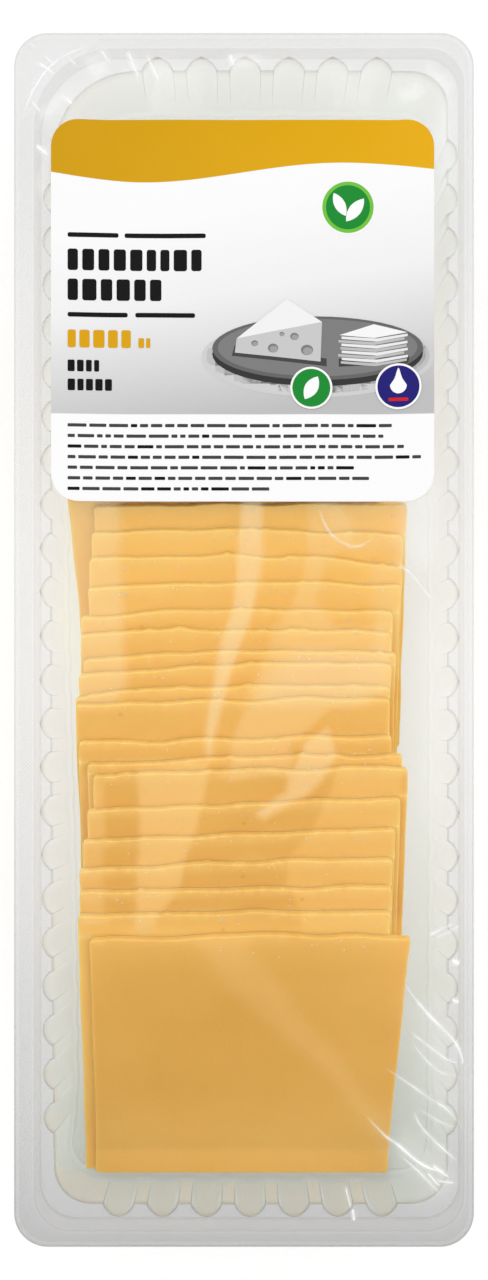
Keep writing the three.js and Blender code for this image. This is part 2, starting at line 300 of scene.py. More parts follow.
clearTray = {
    "line": (0.42, 0.42, 0.29), "lineAlpha": 0.5, "lineFade": 0.55, "fluteLine": 0.3,
    "edgeAlpha": 0.08, "edgePower": 2.5, "roughness": 0.12, "shine": 0.25,
    # Painted light: the inside of the well is tinted lighter and greener, against its shade and the orange
    # light it gets from the cheese
    "insideTint": (0.99, 1.18, 0.92), "hatch": 0.05, "hatchPitch": 0.8,
    # Painted shade: the sheet is greyer and less clear towards the ends, most at the near end. Place along
    # the pack in mm, with the sheet's grey and alpha there
    "tones": [(-198, 0.3, 0.4), (-183, 0.34, 0.37), (-150, 0.42, 0.31), (-117, 0.45, 0.27),
              (-85, 0.52, 0.22), (-20, 0.6, 0.15), (30, 0.62, 0.135), (62, 0.6, 0.14),
              (111, 0.58, 0.17), (160, 0.52, 0.23), (198, 0.52, 0.25)],
    "insideLightening": (0.4, 3),  # painted light: how much more see-through, so lighter, the walls are made, and how soon past the near end
    # The diagonal past which the corner for peeling is left unsealed: a place on it and its rise
    "peelLine": (-72.1, 170.2, 1.05),
}


def trayMaterial():
    material, nodes, shader = newMaterial("clearTray")
    bend, seal, inside = (marked(nodes, mark) for mark in ("bend", "seal", "inside"))
    x, y = acrossAndAlong(objectPlace(nodes))
    near, far = tray["flange"][2:]
    share = mathNode("DIVIDE", plus(y, -near * mm), (far - near) * mm, True)
    # Painted shade: grey and alpha of the sheet change along the pack, darkest at the near end
    stops = [((place - near) / (far - near), tone, alpha) for place, tone, alpha in clearTray["tones"]]
    tones = greyRamp(share, stops)
    # Hatch pressed into the seal band, but not into the corner for peeling
    knurl = nodes.new("ShaderNodeTexWave")
    # such waves repeat every 0.314 at a scale of 1
    scale = 0.314 / (clearTray["hatchPitch"] * mm)
    feedAll(knurl, {"Vector": objectPlace(nodes, radians(45)), "Scale": scale})
    peelX, peelY, rise = clearTray["peelLine"]
    beyond = plus(times(x, -rise), y)
    sealed = mathNode("LESS_THAN", beyond, (peelY - rise * peelX) * mm)
    hatch = times(times(knurl.outputs["Fac"], seal), sealed)
    # Painted light: the inside of the well is tinted lighter and greener, and made more see-through away
    # from the near end
    warm = mixColour(inside, tones["Color"], clearTray["insideTint"], "MULTIPLY")
    lightening, soon = clearTray["insideLightening"]
    lighterInside = plus(times(times(inside, times(share, soon, True)), -lightening), 1)
    alpha = times(tones["Alpha"], lighterInside)
    # The bend lines get fainter towards the far end
    lines = times(plus(times(share, -clearTray["lineFade"]), 1), clearTray["lineAlpha"])
    alpha = plus(alpha, times(bend, lines))
    alpha = plus(alpha, times(grazing(nodes, clearTray["edgePower"]), clearTray["edgeAlpha"]))
    alpha = plus(alpha, times(hatch, clearTray["hatch"]), True)
    feedAll(shader, {
        "Base Color": mixColour(bend, warm, clearTray["line"]), "Alpha": alpha,
        "Roughness": clearTray["roughness"], "Specular IOR Level": clearTray["shine"],
    })
    return material


clearFilm = {
    "alpha": 0.01, "edgeAlpha": 0.2, "edgePower": 3, "roughness": 0.06,
    "haze": 45, "hazeShare": (0.6, 0.8), "tones": ((0.93, 0.93, 0.92), (1, 1, 1)),
    "warm": (1, 0.98, 0.72), "warmth": 20,  # colour of the mirrored shapes, and how soon it takes over
}


def filmMaterial():
    material, nodes, shader = newMaterial("clearFilm")
    glow = marked(nodes, "glow")
    haze = clouds(objectPlace(nodes), clearFilm["haze"])
    least, more = clearFilm["hazeShare"]
    sheen = times(marked(nodes, "sheen"), plus(times(haze, more), least))
    edge = times(grazing(nodes, clearFilm["edgePower"]), clearFilm["edgeAlpha"])
    alpha = plus(plus(plus(edge, sheen), glow), clearFilm["alpha"], True)
    tone = mixColour(haze, *clearFilm["tones"])
    tone = mixColour(times(glow, clearFilm["warmth"], True), tone, clearFilm["warm"])
    feedAll(shader, {"Base Color": tone, "Alpha": alpha, "Roughness": clearFilm["roughness"]})
    return material


cheeseLook = {
    "light": (0.95, 0.565, 0.135), "deep": (0.7, 0.365, 0.045), "cut": (0.97, 0.67, 0.23),
    "crumb": (1, 0.88, 0.62), "roughness": 0.5, "shine": 0.3,
    "subsurface": 0.6, "scatter": (1, 0.75, 0.35), "scatterScale": 0.003,
    # Textures as scale, detail and share in the colour
    "clouds": (28, 6, 0.45), "grain": (900, 3, 0.18), "streaks": (90, 2, 0.16), "stretch": (0.12, 1, 1),
    "pits": (150, 0.11, 0.86, 0.35),  # scale, radius, how rare, share in the colour
    "rimPatches": 1.5, "bump": (0.0002, 0.3),
}


def cheeseMaterial():
    material, nodes, shader = newMaterial("sliceOfCheese")
    cut, mixed = marked(nodes, "cut"), marked(nodes, "tint")
    place = objectPlace(nodes)
    grain = clouds(place, *cheeseLook["grain"][:2])
    cloud = clouds(place, *cheeseLook["clouds"][:2])
    streak = clouds(objectPlace(nodes, 0, cheeseLook["stretch"]), *cheeseLook["streaks"][:2])
    for texture, look in ((cloud, "clouds"), (grain, "grain"), (streak, "streaks")):
        mixed = plus(mixed, times(plus(texture, -0.5), cheeseLook[look][2]))
    # Small pits, in only a few of the cells
    scale, radius, rare, share = cheeseLook["pits"]
    pits = nodes.new("ShaderNodeTexVoronoi")
    feedAll(pits, {"Vector": place, "Scale": scale})
    draw = nodes.new("ShaderNodeSeparateColor")
    feed(draw.inputs[0], pits.outputs["Color"])
    pit = mathNode("LESS_THAN", pits.outputs["Distance"], radius)
    pit = times(pit, mathNode("GREATER_THAN", draw.outputs[0], rare))
    mixed = plus(mixed, times(pit, share), True)
    colour = mixColour(mixed, cheeseLook["light"], cheeseLook["deep"])
    # The cut rim is pale in patches, partly painted light, and the corner under each next slice's edge gets
    # the same painted light; crumbs are paler still
    rim = times(cut, times(grain, cheeseLook["rimPatches"]), True)
    colour = mixColour(rim, colour, cheeseLook["cut"])
    colour = mixColour(plus(cut, -1, True), colour, cheeseLook["crumb"])
    feedAll(shader, {
        "Base Color": colour, "Roughness": cheeseLook["roughness"],
        "Specular IOR Level": cheeseLook["shine"], "Subsurface Weight": cheeseLook["subsurface"],
        "Subsurface Scale": cheeseLook["scatterScale"],
    })
    shader.inputs["Subsurface Radius"].default_value = cheeseLook["scatter"]
    addBump(shader, mathNode("SUBTRACT", grain, pit), *cheeseLook["bump"])
    return material


# Tray

# Places across one flute from its middle, how deep each is as a share, and whether it is an edge
def fluteSteps():
    half, halfArc = tray["fluteWidth"] / 2, tray["halfArc"]
    near, far = (half + away for away in tray["beside"])
    steps = [(-tray["flutePitch"] / 2, 0, 0), (-far, 0, 0), (-near, 0, 0)]
    for step in range(tray["arcPoints"] + 1):
        # closer together towards both ends of the arc
        turn = halfArc * sin(pi / 2 * (2 * step / tray["arcPoints"] - 1))
        depth = (cos(turn) - cos(halfArc)) / (1 - cos(halfArc))
        steps.append((half * sin(turn) / sin(halfArc), depth, step in (0, tray["arcPoints"])))
    return steps + [(near, 0, 0), (far, 0, 0)]


def trayRing(box, radii, share, grow):
    left, right, near, far = box
    left, right, near, far = left - grow, right + grow, near - grow, far + grow
    long, wide = far - near, right - left

    def bow(name, r, span):
        return tray[name] * cos(pi * r / span) if share > 0 else 0

    def dent(r):
        low = min(1, (1 - share) / (1 - tray["footShare"])) if share > 0 else 0
        return tray["dent"] * smooth(*tray["dentFar"], r) * smooth(*tray["dentNear"], r) * low

    plain, peel = (radius + grow for radius in radii)
    # Each corner with the side after it: its flutes, their depth and direction, and a place on it
    sides = [
        (right, near, -90, plain, "rightFlutes", "sideDepth", 1,
         lambda r, out: (right + out + bow("rightBow", r, long), r)),
        (right, far, 0, plain, "farFlutes", "endDepth", -1,
         lambda r, out: (r, far + out + bow("endBow", r, wide))),
        (left, far, 90, peel, "leftFlutes", "sideDepth", -1,
         lambda r, out: (left - out - bow("leftBow", r, long) + dent(r), r)),
        (left, near, 180, plain, "nearFlutes", "endDepth", 1,
         lambda r, out: (r, near - out - bow("endBow", r, wide))),
    ]
    steps = fluteSteps()
    points = []
    for x, y, start, radius, flutes, depth, way, at in sides:
        middleX = x - copysign(radius, x)
        middleY = y - copysign(radius, y)
        for step in range(tray["pointsPerCorner"] + 1):
            angle = radians(start + 90 * step / tray["pointsPerCorner"])
            points.append((middleX + radius * cos(angle), middleY + radius * sin(angle), 0))
        count, first = tray[flutes]
        for flute in range(count)[::way]:
            for across, deep, edge in steps:
                place = first + flute * tray["flutePitch"] + way * across
                points.append((*at(place, deep * tray[depth] * share), edge))
    return points


# From the rim down to the floor: outline, corner radii, flute share, growth, height, bend line, seal
def trayLevels():
    sheet, fillet, flat = tray["sheet"], tray["fillet"], tray["footShare"]
    wall, foot = tray["wallTop"], tray["wallFoot"]
    radii = (tray["corner"], tray["peelCorner"])
    levels = []
    for outline, base, share, rows in tray["profile"]:
        corners = (tray["flangeRadius"],) * 2 if outline == "flange" else radii
        for grow, rise, line, seal in rows:
            levels.append((tray[outline], corners, share, grow, tray[base] + rise, line, seal))
    for t in tray["wallSteps"]:
        box = tuple(mix(top, bottom, t) for top, bottom in zip(wall, foot))
        levels.append((box, radii, mix(1, flat, t), 0, mix(tray["ledge"], sheet + fillet, t), 0, 0))
    lines = tray["filletLines"]
    for step, line in enumerate(lines):
        turn = pi / 2 * step / (len(lines) - 1)
        height = sheet + fillet * (1 - sin(turn))
        levels.append((foot, radii, flat, fillet * (cos(turn) - 1), height, line, 0))
    for share, inward in tray["floorSteps"]:
        levels.append((foot, radii, share * flat, -fillet - inward, sheet, 0, 0))
    return levels


def makeTray(material):
    levels = trayLevels()
    rings = [trayRing(*level[:4]) for level in levels]
    marks = ("bend", "seal", "inside")
    deselectAll()
    bpy.ops.mesh.primitive_circle_add(vertices=len(rings[0]), radius=0.1, fill_type="NOTHING")
    piece = bpy.context.object
    piece.name = "clear_tray"
    bpy.ops.object.mode_set(mode="EDIT")
    mesh = bmesh.from_edit_mesh(piece.data)
    order = mesh.verts.layers.int.new("order")
    for mark in marks:
        mesh.verts.layers.float.new(mark)
    walk = sorted(mesh.verts, key=lambda v: atan2(v.co.y, v.co.x) % (2 * pi))
    for number, vertex in enumerate(walk):
        vertex[order] = number
    bmesh.update_edit_mesh(piece.data)
    bpy.ops.mesh.select_all(action="SELECT")
    for number, (level, ring) in enumerate(zip(levels, rings)):
        share, _, height, line, seal = level[2:]
        if number:
            bpy.ops.mesh.extrude_edges_move()
        mesh = bmesh.from_edit_mesh(piece.data)
        order = mesh.verts.layers.int["order"]
        layers = [mesh.verts.layers.float[mark] for mark in marks]
        inside = smooth(tray["ledge"], tray["ledge"] - 2, height)
        for vertex in mesh.verts:
            if vertex.select:
                x, y, edge = ring[vertex[order]]
                vertex.co = (x * mm, y * mm, height * mm)
                bend = max(line, edge * clearTray["fluteLine"] * share)
                for layer, value in zip(layers, (bend, seal, inside)):
                    vertex[layer] = value
        bmesh.update_edit_mesh(piece.data)
    bpy.ops.mesh.edge_face_add()
    bpy.ops.mesh.select_all(action="SELECT")
    bpy.ops.mesh.normals_make_consistent(inside=False)
    bpy.ops.object.mode_set(mode="OBJECT")
    floorFace = min(piece.data.polygons, key=lambda face: face.center.z)
    if floorFace.normal.z < 0:
        piece.data.flip_normals()
    thicken(piece, tray["sheet"], -1)
    bpy.ops.object.shade_smooth_by_angle(angle=tray["smoothAngle"])
    piece.visible_shadow = False
    finishPiece(piece, material, "tray_plastic", "tray")


# A grid primitive whose points are then placed; marks maps attribute names to functions
def gridPiece(name, columns, rows, place, marks):
    deselectAll()
    across, along = len(columns) - 1, len(rows) - 1
    bpy.ops.mesh.primitive_grid_add(x_subdivisions=across, y_subdivisions=along, size=1)
    piece = bpy.context.object
    piece.name = name
    vertices = piece.data.vertices
    spots = [
        (columns[round((v.co.x + 0.5) * across)], rows[round((v.co.y + 0.5) * along)])
        for v in vertices
    ]
    for vertex, (column, row) in zip(vertices, spots):
        vertex.co = [value * mm for value in place(column, row)]
    for mark, measure in marks.items():
        layer = piece.data.attributes.new(mark, "FLOAT", "POINT")
        for item, (column, row) in zip(layer.data, spots):
            item.value = measure(column, row)
    return piece


def roundCorner(x, y, box, radius):
    left, right, near, far = box
    middleX, middleY = (left + right) / 2, (near + far) / 2
    innerX = (right - left) / 2 - radius
    innerY = (far - near) / 2 - radius
    offX, offY = abs(x - middleX) - innerX, abs(y - middleY) - innerY
    if offX <= 0 or offY <= 0:
        return x, y
    pull = max(offX, offY) / hypot(offX, offY)
    return (
        middleX + copysign(innerX + offX * pull, x - middleX),
        middleY + copysign(innerY + offY * pull, y - middleY),
    )


# Slices

def slicePath(order):
    thickness, gap, slope = slices["thickness"], slices["gap"], slices["slope"]
    centre = slices["bendCentre"]
    radius = (order - 0.5) * thickness + (order - 1) * gap
    end = slices["toeEnds"].get(order)
    pile = thickness + gap if order == slices["count"] else 0
    rest = thickness / 2 + pile if end else thickness / 2 * cos(slope)
    floorY = centre - (radius / sin(slope) - rest / tan(slope))
    straight = (radius * cos(slope) - rest) / sin(slope)
    toeRadius = slices["toeBend"] - pile
    trim = toeRadius * tan(slope / 2)
    toeFlat = floorY - trim - end if end else 0
    toeArc = toeRadius * slope if end else 0
    start = toeFlat + toeArc - trim if end else 0

    def at(along):  # place along the pack, height and tilt at a distance up from the lower end
        if end and along < toeFlat:
            return end + along, rest, 0
        if end and along < toeFlat + toeArc:
            tilt = (along - toeFlat) / toeRadius
            return (end + toeFlat + toeRadius * sin(tilt),
                    rest + toeRadius * (1 - cos(tilt)), tilt)
        up = along - start
        if up <= straight:
            return floorY + up * cos(slope), rest + up * sin(slope), slope
        tilt = slope - (up - straight) / radius
        if tilt > 0:
            return centre - radius * sin(tilt), radius * cos(tilt), tilt
        return centre + up - straight - radius * slope, radius, 0

    def reach(y):
        return start + (y - floorY) / cos(slope)

    return at, reach


# Even lines, with closer ones in the first and last few millimetres
def gradedLines(low, high, step, dense):
    lines = [low + offset for offset in dense] + [high - offset for offset in dense]
    lines += stepped(low + dense[-1], high - dense[-1], step)[1:-1]
    return sorted(set(lines))


# Places where a bright wall is mirrored in the film: outline in mm, haze in the film, how much
# lighter the cheese under it looks, and how soft the edge is
glows = [
    ([(-1, 47), (6, 47), (6, 26), (1, 7), (-2, -6), (-7, -21), (-11, -37), (-12, -37),
      (-11, -20), (-8, -5), (-5, 7), (-1, 26)], 0.13, 0.2, 1.4),
    ([(22, 47), (29, 47), (35, 39), (35, 31), (26, 26), (24, 13), (31, 4), (47, 6), (48, -16), (40, -20),
      (28, -22), (19, -31), (15, -33), (15, -44), (-6, -45), (-4, -33), (3, -16), (9, 0), (17, 11),
      (20, 21)], 0.05, 0.22, 1.6),
    ([(17, -3), (31, -5), (45, -3), (47, -10), (46, -17), (35, -20), (6, -21), (5, -16), (10, -9)],
     0.08, 0, 4),
    ([(-58, 47), (-41, 47), (-40, 13), (-39, -16), (-43, -21), (-54, -20), (-60, 0)], 0.085, 0.15, 2.6),
    ([(-35, -42), (-12, -39), (-14, -52), (-17, -65), (-22, -80), (-29, -91), (-31, -97), (-36, -97),
      (-35, -75)], 0.035, 0.45, 1.4),
    ([(31, -40), (52, -39), (52, -95), (20, -96), (18, -87), (14, -80), (15, -72), (22, -61),
      (28, -49)], 0.006, 0.36, 1.2),
    ([(31, -38), (18, -52), (7, -60), (4, -58), (14, -50), (15, -44), (20, -34), (28, -29)], 0.1, 0.4, 1.6),
    ([(-54, -42), (-46, -48), (-46, -93), (-54, -93)], 0.02, 0.3, 1.6),
    ([(42, 26), (50, 26), (51, 0), (48, -16), (44, -3), (43, 13)], 0.05, 0.1, 2.4),
    ([(24, 47), (51, 47), (52, 31), (35, 29), (29, 36)], 0.04, 0.08, 3),
    ([(-16, -98), (-1, -98), (18, -121), (33, -141), (47, -160), (46, -167), (28, -146), (6, -124),
      (-9, -110)], 0.012, 0.16, 3.5),
]

crumbs = {
    "count": 260, "size": (0.16, 0.42), "fromEdge": (0.8, 2.2), "inset": 3,
    "long": (0.7, 2.2), "flat": 0.6, "spots": [],
}

# How deep the colour is, from 0 to 1
tints = {
    "far": 0.04, "near": 0.6, "hidden": 0, "front": 0.57, "least": -0.1,
    "fade": (-85, 45), "lowFade": (-97, -88),
    # On the front slice, painted shade: a darker patch as depth, x, y and half widths; and painted light on
    # its paler foot and head
    "shade": (0.26, -22, -128, 48, 34), "foot": (0.28, -150, -172), "head": (0.25, -112, -98),
}


# Painted shade on the front slice: deeper all over, darkest in a patch, with its foot and head made paler
# as painted light
def tintAt(x, y, isFront, isShown):
    if not isShown:
        return tints["hidden"]
    if not isFront:
        fade = smooth(*tints["fade"], y)
        return mix(tints["near"], tints["far"], fade) * smooth(*tints["lowFade"], y)
    depth, *where = tints["shade"]
    ends = sum(share * smooth(low, high, y) for share, low, high in (tints["foot"], tints["head"]))
    return tints["front"] + depth * bell(x, y, *where) - ends


# How far a place lies from the line between two points, and at what share of its length
def fromSpan(a, b, x, y):
    t = ((x - a[0]) * (b[0] - a[0]) + (y - a[1]) * (b[1] - a[1])) / dist(a, b) ** 2
    t = min(max(t, 0), 1)
    return hypot(x - mix(a[0], b[0], t), y - mix(a[1], b[1], t)), t


# How far a place lies inside an outline, less than 0 outside it
def depthInside(outline, x, y):
    away, isInside = 1e9, False
    for a, b in zip(outline, outline[1:] + outline[:1]):
        away = min(away, fromSpan(a, b, x, y)[0])
        if (a[1] > y) != (b[1] > y) and x < a[0] + (y - a[1]) * (b[0] - a[0]) / (b[1] - a[1]):
            isInside = not isInside
    return away if isInside else -away


# How bright the mirrored shapes are at a place: for the film 0, for the cheese 1
def glowAt(x, y, which=0):
    left, right, near, far = film["glowBox"]
    if not (left < x < right and near < y < far):
        return 0
    # Their edges waver a little
    (a, b, layer), (c, d, other), size = film["waver"]
    x += noise.noise((x * a, y * b, layer)) * size
    y += noise.noise((x * c, y * d, other)) * size
    total = 0
    for outline, *strengths, soft in glows:
        across, along = zip(*outline)
        if min(across) - soft < x < max(across) + soft and min(along) - soft < y < max(along) + soft:
            total += strengths[which] * smooth(-soft, soft, depthInside(outline, x, y))
    return total


# Where the upper edge of a slice lies
def upperEdge(order, x):
    left, middle, right, side = shownSlices[order - slices["hidden"] - 1]
    across = min(max(2 * (x - side) / slices["width"] - 1, -1), 1)
    return middle + (right - left) / 2 * across + ((left + right) / 2 - middle) * across * across


# The upper rim is rounded in full, the one underneath only a little
def markRims(piece):
    mesh = bmesh.new()
    mesh.from_mesh(piece.data)
    weight = mesh.edges.layers.float.new("bevel_weight_edge")
    for edge in mesh.edges:
        first, second = (face.normal for face in edge.link_faces)
        if first.angle(second) > tray["smoothAngle"]:
            isUpper = max(first.z, second.z) > 0.6
            edge[weight] = 1 if isUpper else slices["underRounding"]
    mesh.to_mesh(piece.data)
    mesh.free()


# Sums noise of several sizes, each read at the place that spot gives for it
def unevenness(waves, spot):
    return sum(noise.noise(spot(scale, layer)) * size for scale, layer, size in waves)


def makeSlice(order, material):
    at, reach = slicePath(order)
    isFront = order == slices["count"]
    isShown = order > slices["hidden"]
    width = slices["frontWidth"] if isFront else slices["width"]
    if isShown:
        left, middle, right, side = shownSlices[order - slices["hidden"] - 1]
        high = reach(middle)
        low = 0 if order in slices["toeEnds"] else high - slices["length"]
    else:
        left = middle = right = 0
        side = slices["hiddenSide"][0] + slices["hiddenSide"][1] * (order - 1)
        low, high = 0, slices["length"]
    length = high - low
    bow = (left + right) / 2 - middle
    lean = (right - left) / 2
    seed = order * slices["seedStep"]
    batch = slices["batch"] * noise.noise((seed, 4, 1)) if isShown else 0

    def place(column, row):
        x, run = roundCorner(column, row, (0, width, 0, length), slices["corner"])
        across = 2 * x / width - 1
        along = run / length
        edge = (bow * across * across + lean * across) * along * along
        # The upper edge is torn a little, the sides are cut nearly straight
        scale, layer, bite, least = slices["nibbles"]
        rag = unevenness(slices["rag"], lambda scale, layer: (x * scale, seed, layer))
        rag += bite * max(0, noise.noise((x * scale, seed, layer)) - least)
        sway = unevenness(slices["sway"], lambda scale, layer: (seed, run * scale, layer))
        sides = smooth(2, 0, column) - smooth(2, 0, width - column)
        y, z, tilt = at(low + run + edge + rag * smooth(3, 0, length - row))
        taper = (1 - along) * slices["frontTaper"] * x / width if isFront else 0
        turn = 0 if isShown else (1 - along) * slices["hiddenTurn"]
        scale, size = slices["lift"]
        lift = noise.noise((x * scale, run * scale, seed)) * size
        return (side + x - taper + turn + sway * sides,
                y - lift * sin(tilt), slices["floor"] + z + lift * cos(tilt))

    def cut(column, row):
        middle, scale, change = slices["patches"]
        patch = middle + noise.noise((column * scale, row * scale, seed)) * change
        deep, power = slices["rim"]
        top = max(0, 1 - (length - row) / deep) ** power * patch
        deep, share = slices["sideRim"]
        side = max(0, 1 - min(column, width - column) / deep) * share
        # Painted light: the corner under the next slice's edge is made paler, as if light came through the
        # cheese there
        crevice = 0
        if isShown and not isFront:
            x, y, _ = place(column, row)
            past = y - upperEdge(order + 1, x)
            close, offset, fade, wide, wideFade = slices["crevice"]
            crevice = close * exp(-abs(past - offset) / fade) + wide * exp(-abs(past) / wideFade)
        return max(top, side) * (slices["frontRim"] if isFront else 1) + crevice * (1 - top)

    # Painted reflection: the cheese under a mirrored shape in the film is made paler
    def tint(column, row):
        x, y, _ = place(column, row)
        lit = glowAt(x, y, 1) if isShown else 0
        return max(tintAt(x, y, isFront, isShown) + batch - lit, tints["least"])

    dense = slices["dense"][isShown]
    columns = gradedLines(0, width, slices["columnStep"][isShown], dense)
    rows = gradedLines(0, length, slices["frontRowStep" if isFront else "rowStep"], dense)
    if isShown and not isFront:
        fine = length - slices["fineRows"]
        rows = [row for row in rows if row < fine] + gradedLines(fine, length, slices["fineStep"], dense)
        # and closer still beside the next slice's edge
        step = (middle - shownSlices[order - slices["hidden"]][1]) / cos(slices["slope"])
        least, apart, numbers = slices["edgeRows"]
        if step > least:
            rows = sorted(rows + [length - step + apart * number for number in numbers])
    piece = gridPiece(f"slice_{order:02d}", columns, rows, place, {"cut": cut, "tint": tint})
    thicken(piece, slices["thickness"] + slices["swell"], 0, True)
    markRims(piece)
    rounding = piece.modifiers.new("rounding", "BEVEL")
    rounding.width = slices["rounding"] * mm
    rounding.segments = 3 if isShown else 2
    rounding.limit_method = "WEIGHT"
    applyModifiers(piece)
    bpy.ops.object.shade_smooth()
    finishPiece(piece, material, "cheese", f"cheese_slice_{order:02d}")
    if isShown:
        least, spread = crumbs["fromEdge"]
        backward, upward = (slices["thickness"] / 2 * way(slices["slope"]) for way in (sin, cos))
        for _ in range(crumbs["count"] // (slices["count"] - slices["hidden"])):
            column = chance.uniform(crumbs["inset"], width - crumbs["inset"])
            x, y, z = place(column, length - abs(chance.gauss(0, spread)) - least)
            crumbs["spots"].append((x * mm, (y - backward) * mm, (z + upward) * mm))


def makeCrumbs(material):
    piece = emptyPiece("cheese_crumbs")
    for spot in crumbs["spots"]:
        bpy.ops.mesh.primitive_ico_sphere_add(
            subdivisions=1, radius=chance.uniform(*crumbs["size"]) * mm, location=spot,
            rotation=(chance.random(), chance.random(), chance.random() * 3),
            scale=(chance.uniform(*crumbs["long"]), 1, crumbs["flat"]),
        )
    bpy.ops.object.mode_set(mode="OBJECT")
    markAll(piece, "cut", 2)
    bpy.ops.object.shade_smooth()
    finishPiece(piece, material, "cheese")


# Film

# Folds in the film as places in mm, with half width, height and how white their painted highlight shines
folds = [
    ([(51.8, -111.2), (56.3, -117.7), (61, -123.1), (68.7, -131.1), (71.1, -137), (70.4, -139)],
     0.9, 0.3, 0.55),
    ([(53.5, -127.5), (57.9, -130.8), (62.2, -134), (67.1, -137.3), (70.8, -137.5)], 0.8, 0.25, 0.4),
    ([(54.1, -130.1), (58.4, -136), (63.9, -140.9), (71.4, -142.5)], 0.8, 0.25, 0.3),
    ([(46, -140.2), (54.1, -145.3), (60.7, -149.7), (65.9, -152.9), (71.4, -159)], 0.9, 0.3, 0.4),
    ([(39.8, -156.2), (46, -162.4), (50.4, -165.3), (56.1, -169.9), (61, -172.5), (68.5, -173.8)],
     0.9, 0.35, 0.65),
    ([(50.9, -168.3), (56.6, -173.2), (61.6, -178.1), (64.4, -181)], 0.8, 0.3, 0.45),
    ([(54.9, -152.6), (57.4, -158.2), (61, -162.4), (65.5, -166.5), (70.1, -170.6)], 1.0, 0.3, 0.45),
    ([(56.1, -152.6), (61.6, -155.9), (65.2, -157.8), (69.8, -159.1)], 0.9, 0.3, 0.3),
    ([(60, -96.5), (68.7, -92.3)], 1.1, 0.2, 0.35),
    ([(61.6, -97.8), (70.8, -92.9)], 0.9, 0.2, 0.3),
    ([(48.8, 25.4), (52.8, 23), (56.3, 19.6), (60.3, 14.5), (64.9, 11.7)], 0.9, 0.2, 0.3),
    ([(23.8, 45), (26.4, 38), (29.7, 33.6), (34.6, 30.8), (38.5, 31), (43, 34)], 0.7, 0.15, 0.3),
    ([(61, -171), (67, -175.5)], 0.9, 0.3, 0.6),
    ([(62.6, -176.4), (68.8, -177)], 0.8, 0.3, 0.5),
    ([(59.5, -173.5), (64, -178.5)], 0.7, 0.3, 0.5),
    ([(67.6, -104.5), (70.4, -105.6)], 1.4, 0.3, 0.75),
    ([(67.6, -117.2), (70.2, -118.2)], 1.1, 0.3, 0.6),
    ([(35.4, -185.3), (35.9, -189.6)], 0.9, 0.3, 0.6),
    ([(33, -178), (35, -186)], 0.7, 0.2, 0.3),
    # Along the seal that cuts off the corner for peeling, and the short strokes about it
    ([(-72.1, 170.2), (-68.5, 179.4), (-61.3, 188.5), (-48.6, 194.7)], 0.7, 0.1, 0.35),
    ([(-67.4, 188.5), (-61.5, 184.2)], 0.9, 0.15, 0.4),
    ([(-65.2, 190.4), (-61.2, 186.8)], 0.6, 0.15, 0.35),
    ([(-57.4, 189.7), (-54.5, 187.2)], 0.7, 0.15, 0.35),
    ([(-47, 192.8), (-43.4, 187.4)], 1.0, 0.15, 0.3),
    ([(-38.2, 192.6), (-34.2, 182.6)], 1.6, 0.15, 0.3),
    ([(-32, 191.5), (-27.5, 181.5)], 1.0, 0.15, 0.25),
    ([(-4.8, 191), (-3.2, 186.6)], 1.5, 0.15, 0.3),
    ([(-60.4, 178.4), (-55.5, 174.4)], 1.6, 0.15, 0.35),
    ([(-68, 161.5), (-63.8, 157.8)], 1.3, 0.15, 0.35),
    ([(-69.4, 176), (-66.4, 172)], 0.8, 0.15, 0.35),
]

# Soft reflections in the film: places in mm, with half width and how white
sheens = [
    ([(58, 60), (58, 40), (58, 18)], 6, 0.25),
    ([(60, 30), (62, -20), (61, -75)], 4.5, 0.1),
    ([(58, -110), (64, -135), (66, -160)], 7, 0.08),
    ([(48, -160), (60, -172), (68, -184)], 6, 0.12),
    ([(-68, 178), (-40, 184), (20, 184), (66, 180)], 7, 0.07),
    ([(-64, 160), (-58, 178), (-36, 191)], 4, 0.1),
    ([(-32, 172), (-24, 193)], 3, 0.1),
    ([(-8, 186), (14, 189)], 2.4, 0.12),
    ([(36, 172), (44, 191)], 4, 0.1),
    ([(66, 140), (66, 182)], 3, 0.1),
]

# Angular glints in the film at the far end: outline in mm, how white, and how soft
glints = [
    ([(-53, 190), (-47, 191), (-45, 186), (-48, 182)], 0.13, 1.2),
    ([(-27, 185), (-14, 186), (-13, 173), (-31, 172)], 0.06, 1.2),
    ([(-5, 191), (6, 191), (5, 188), (-4, 187)], 0.14, 1),
    ([(28, 187), (35, 188), (37, 177), (30, 173)], 0.07, 1.6),
    ([(50, 179), (57, 182), (59, 178), (52, 175)], 0.16, 1.2),
    ([(60, 189), (68, 181), (67, 178), (59, 185)], 0.12, 1.2),
    ([(-67, 172), (-61, 178), (-60, 175), (-65, 169)], 0.14, 1),
    ([(-68, 147), (-65, 160), (-63, 160), (-65, 144)], 0.1, 1.4),
]

peelDot = {"place": (-69.1, 194), "radius": 1.15, "ring": 0.22, "sheen": 0.12, "parts": (36, 10)}


# How far a place lies from a line through points, and how far along it that is
def nearLine(points, x, y):
    spans = list(zip(points, points[1:]))
    total = sum(dist(a, b) for a, b in spans)
    done, best, where = 0, 1e9, 0
    for a, b in spans:
        away, t = fromSpan(a, b, x, y)
        if away < best:
            best, where = away, (done + t * dist(a, b)) / total
        done += dist(a, b)
    return best, where


def sheenAt(x, y):
    white = 0
    for points, width, strength in sheens:
        away, where = nearLine(points, x, y)
        if away < 3 * width:
            least, fade = film["sheenEnds"]
            ends = mix(least, 1, smooth(0, fade, where) * smooth(1, 1 - fade, where))
            white = max(white, ends * strength * exp(-(away / width) ** 2))
    if y > film["glintsFrom"]:
        for outline, strength, soft in glints:
            white += strength * smooth(-soft, soft, depthInside(outline, x, y))
    return white


